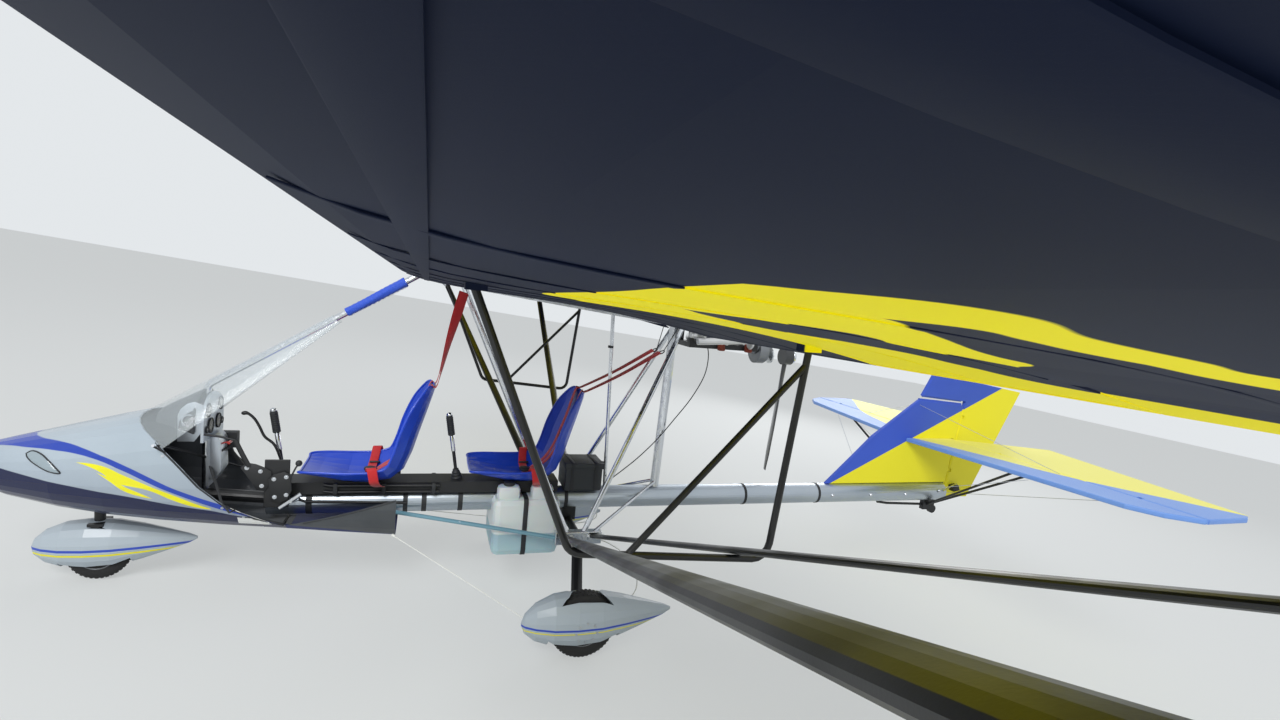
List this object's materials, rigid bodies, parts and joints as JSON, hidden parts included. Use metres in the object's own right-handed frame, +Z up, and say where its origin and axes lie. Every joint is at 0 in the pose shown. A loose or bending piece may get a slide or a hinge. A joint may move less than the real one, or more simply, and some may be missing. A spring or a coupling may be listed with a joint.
{
  "type": "ultralight aircraft",
  "caption": "Tandem two-seat ultralight with open cockpit pod, tail boom, strut-braced high wing, pusher propeller and tricycle undercarriage.",
  "frame": {"origin": "middle of the whole outline on the ground, under the three wheels", "axes": "+X aft, so that the nose points to -X; +Y to the right wing tip; +Z up"},
  "size_m": [6.2118, 9.8, 2.3891],
  "materials": {
    "gelcoat": "silver-blue gelcoat",
    "belly_grey": "dark grey moulded panel",
    "screen": "clear acrylic sheet",
    "panel_aluminium": "brushed",
    "polished_tube": "polished",
    "boom_tube": "clear anodised",
    "black_tube": "black paint",
    "black_plate": "matt black",
    "wing_cloth": "navy and yellow sailcloth",
    "aileron_cloth": "yellow sailcloth",
    "tail_cloth": "blue and yellow sailcloth",
    "sleeve_cloth": "blue sleeve",
    "seat_shell": "royal-blue moulding",
    "tank": "milky polyethylene",
    "battery_case": "dark case",
    "tyre": "rubber",
    "engine_metal": "cast",
    "exhaust_metal": "silver",
    "propeller_finish": "dark composite",
    "blue_tube": "pale blue"
  },
  "bodies": {
    "airframe": {"tail_boom": "boom_tube", "nose_keel": "black_tube", "nose_pod": "gelcoat", "belly_panel": "belly_grey", "windscreen": "screen", "front_tube": "polished_tube", "tube_sleeve": "sleeve_cloth", "instrument_panel": "panel_aluminium", "seat_deck": "black_plate", "front_seat": "seat_shell", "rear_seat": "seat_shell", "front_stick": "black_tube", "rear_stick": "black_tube", "throttle_bracket": "black_plate", "fuel_tank": "tank", "battery_box": "battery_case", "wing_left": "wing_cloth", "wing_right": "wing_cloth", "wing_gap_cover": "wing_cloth", "wing_centre_frame": "polished_tube", "axle_beam": "black_tube", "strut_bracket_left": "polished_tube", "strut_bracket_right": "polished_tube", "front_cabane_left": "polished_tube", "front_cabane_right": "polished_tube", "rear_cabane_left": "polished_tube", "rear_cabane_right": "polished_tube", "front_lift_strut_left": "black_tube", "front_lift_strut_right": "black_tube", "rear_lift_strut_left": "black_tube", "rear_lift_strut_right": "black_tube", "jury_strut_left": "black_tube", "jury_strut_right": "black_tube", "side_tube_left": "blue_tube", "side_tube_right": "blue_tube", "rear_mast": "polished_tube", "centre_post": "polished_tube", "main_spat_left": "gelcoat", "main_spat_right": "gelcoat", "gear_leg_left": "black_tube", "gear_leg_right": "black_tube", "fin": "tail_cloth", "stabilizer_left": "tail_cloth", "stabilizer_right": "tail_cloth", "tail_bumper": "black_tube", "tail_strut_left": "black_tube", "tail_strut_right": "black_tube", "engine_block": "engine_metal", "engine_mount": "black_tube", "exhaust": "exhaust_metal"},
    "nose_steering": {"nose_fork": "black_tube", "nose_spat": "gelcoat"},
    "nose_wheel_body": {"nose_wheel": "tyre"},
    "main_wheel_left_body": {"main_wheel_left": "tyre"},
    "main_wheel_right_body": {"main_wheel_right": "tyre"},
    "propeller_body": {"propeller": "propeller_finish"},
    "rudder_body": {"rudder": "tail_cloth"},
    "elevator_body": {"elevator": "tail_cloth"},
    "aileron_left_body": {"aileron_left": "aileron_cloth"},
    "aileron_right_body": {"aileron_right": "aileron_cloth"}
  },
  "joints": [
    {"name": "nose_steer", "type": "hinge", "parent": "airframe", "child": "nose_steering", "pos_m": [-2.51616, 0, 0.13], "axis": [-0.0898, 0, 0.996], "range_deg": [-20, 20]},
    {"name": "nose_wheel_spin", "type": "hinge", "parent": "nose_steering", "child": "nose_wheel_body", "pos_m": [-2.51616, 0, 0.13], "axis": [0, 1, 0], "continuous": true},
    {"name": "main_wheel_left_spin", "type": "hinge", "parent": "airframe", "child": "main_wheel_left_body", "pos_m": [-0.29031, -0.7, 0.165], "axis": [0, 1, 0], "continuous": true},
    {"name": "main_wheel_right_spin", "type": "hinge", "parent": "airframe", "child": "main_wheel_right_body", "pos_m": [-0.29031, 0.7, 0.165], "axis": [0, 1, 0], "continuous": true},
    {"name": "propeller_spin", "type": "hinge", "parent": "airframe", "child": "propeller_body", "pos_m": [0.96589, 0, 1.60361], "axis": [0.996, 0, 0.0898], "continuous": true},
    {"name": "rudder_hinge", "type": "hinge", "parent": "airframe", "child": "rudder_body", "pos_m": [2.54618, 0, 0.77716], "axis": [0.0292, 0, 0.9996], "range_deg": [-25, 25]},
    {"name": "elevator_hinge", "type": "hinge", "parent": "airframe", "child": "elevator_body", "pos_m": [2.50757, 0, 1.20542], "axis": [0, 1, 0], "range_deg": [-25, 25]},
    {"name": "aileron_left_hinge", "type": "hinge", "parent": "airframe", "child": "aileron_left_body", "pos_m": [0.0035, -2.62, 1.75067], "axis": [0.002, 0.9997, -0.0226], "range_deg": [-20, 20]},
    {"name": "aileron_right_hinge", "type": "hinge", "parent": "airframe", "child": "aileron_right_body", "pos_m": [0.0035, 2.62, 1.75067], "axis": [-0.002, 0.9997, 0.0226], "range_deg": [-20, 20]}
  ],
  "couplings": [
    {"joint": "aileron_right_hinge", "follows": "aileron_left_hinge", "ratio": -1}
  ]
}
